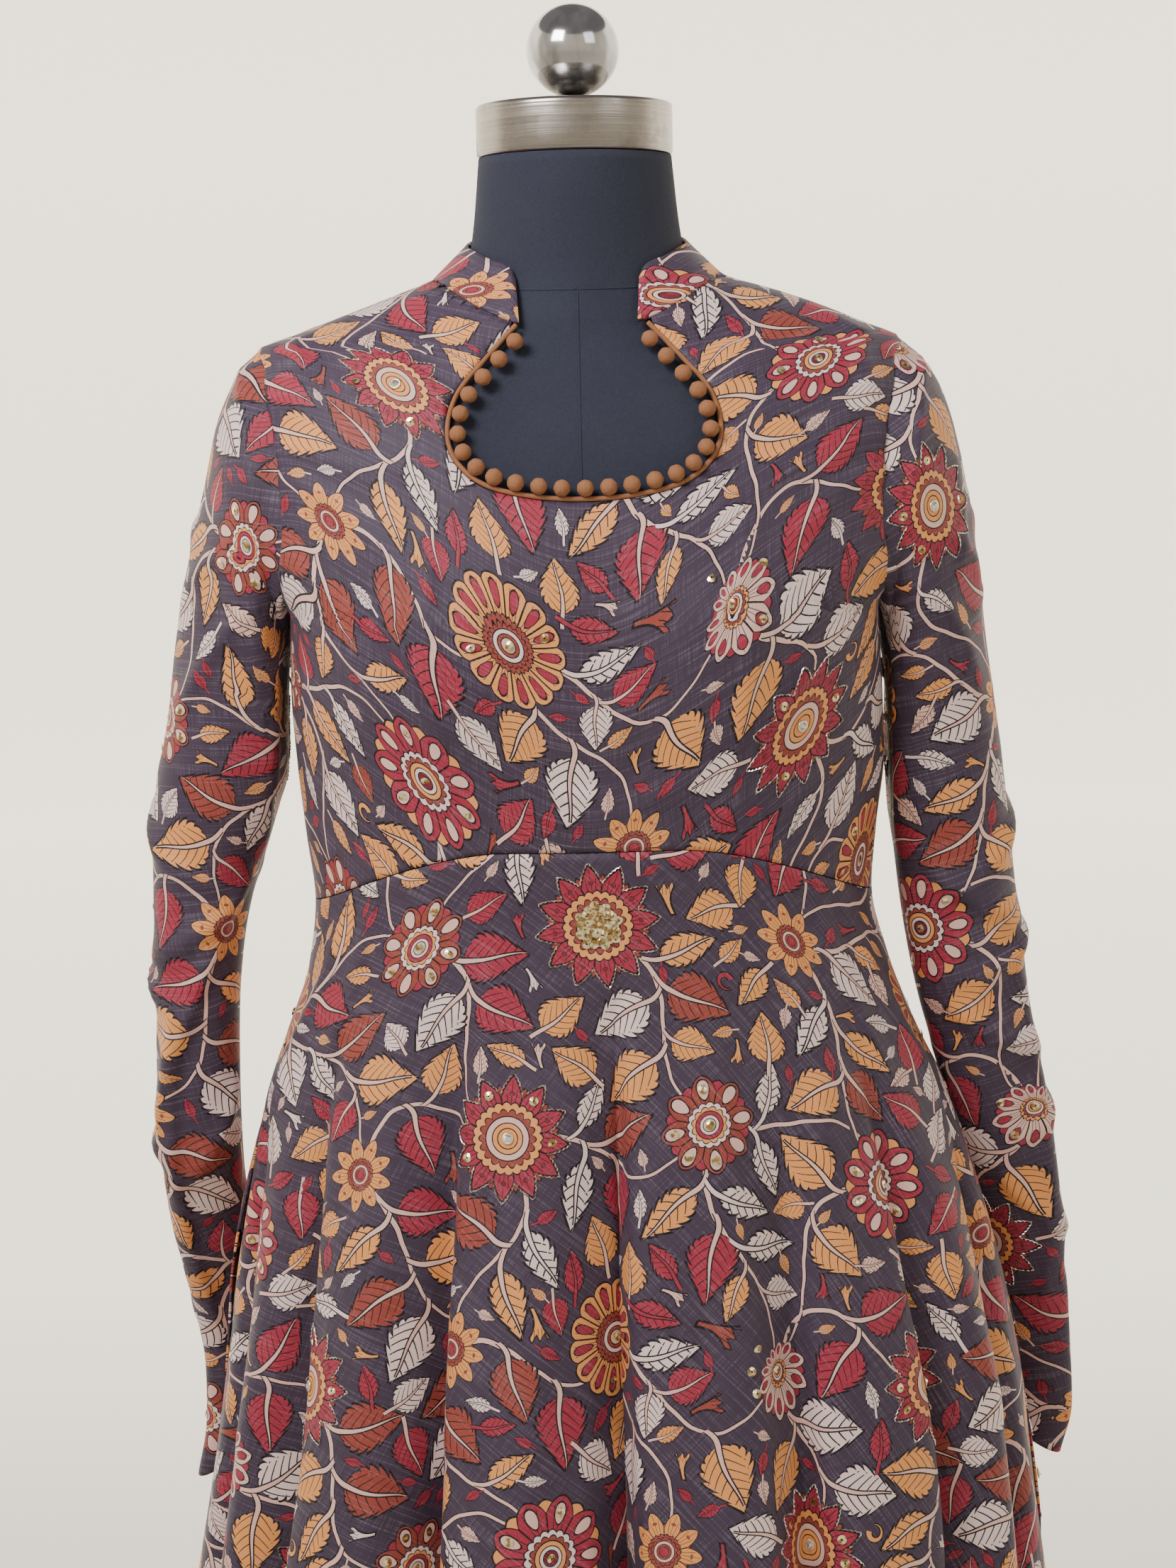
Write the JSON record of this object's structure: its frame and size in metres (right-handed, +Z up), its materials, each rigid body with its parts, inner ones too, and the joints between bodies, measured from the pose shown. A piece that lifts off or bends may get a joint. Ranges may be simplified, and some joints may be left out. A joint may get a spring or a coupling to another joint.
{
  "type": "flared kurta on a dress form",
  "caption": "Long-sleeved flared kurta in floral print with keyhole neckline, stand collar and ball buttons, worn on a limbless dress form on a round base.",
  "frame": {"origin": "centre of the stand base's underside, on the floor", "axes": "+Z up, the front faces -Y and the wearer's left is +X"},
  "size_m": [0.6468, 0.5597, 1.5558],
  "materials": {
    "printed_cotton": "slubbed silk-cotton with a block-style floral print, soft sheen",
    "piping": "matt rust-brown fabric",
    "form_cover": "dark navy knitted cover",
    "cap_steel": "turned and worn",
    "ball_chrome": "polished, lightly scratched",
    "pole_steel": "satin tube",
    "base_paint": "satin black"
  },
  "bodies": {
    "root": {"bodice_front": "printed_cotton", "bodice_back": "printed_cotton", "skirt_front": "printed_cotton", "skirt_back": "printed_cotton", "sleeve_left_upper": "printed_cotton", "sleeve_left_lower": "printed_cotton", "sleeve_right_upper": "printed_cotton", "sleeve_right_lower": "printed_cotton", "collar": "printed_cotton", "neck_piping": "piping", "potli_01": "piping", "potli_02": "piping", "potli_03": "piping", "potli_04": "piping", "potli_05": "piping", "potli_06": "piping", "potli_07": "piping", "potli_08": "piping", "potli_09": "piping", "potli_10": "piping", "potli_11": "piping", "potli_12": "piping", "potli_13": "piping", "potli_14": "piping", "potli_15": "piping", "potli_16": "piping", "potli_17": "piping", "potli_18": "piping", "potli_19": "piping", "potli_20": "piping", "potli_21": "piping", "potli_22": "piping", "potli_23": "piping", "potli_24": "piping", "potli_25": "piping", "form_torso": "form_cover", "neck_cap": "cap_steel", "finial_ball": "ball_chrome", "stand_pole": "pole_steel", "stand_base": "base_paint"}
  },
  "joints": []
}
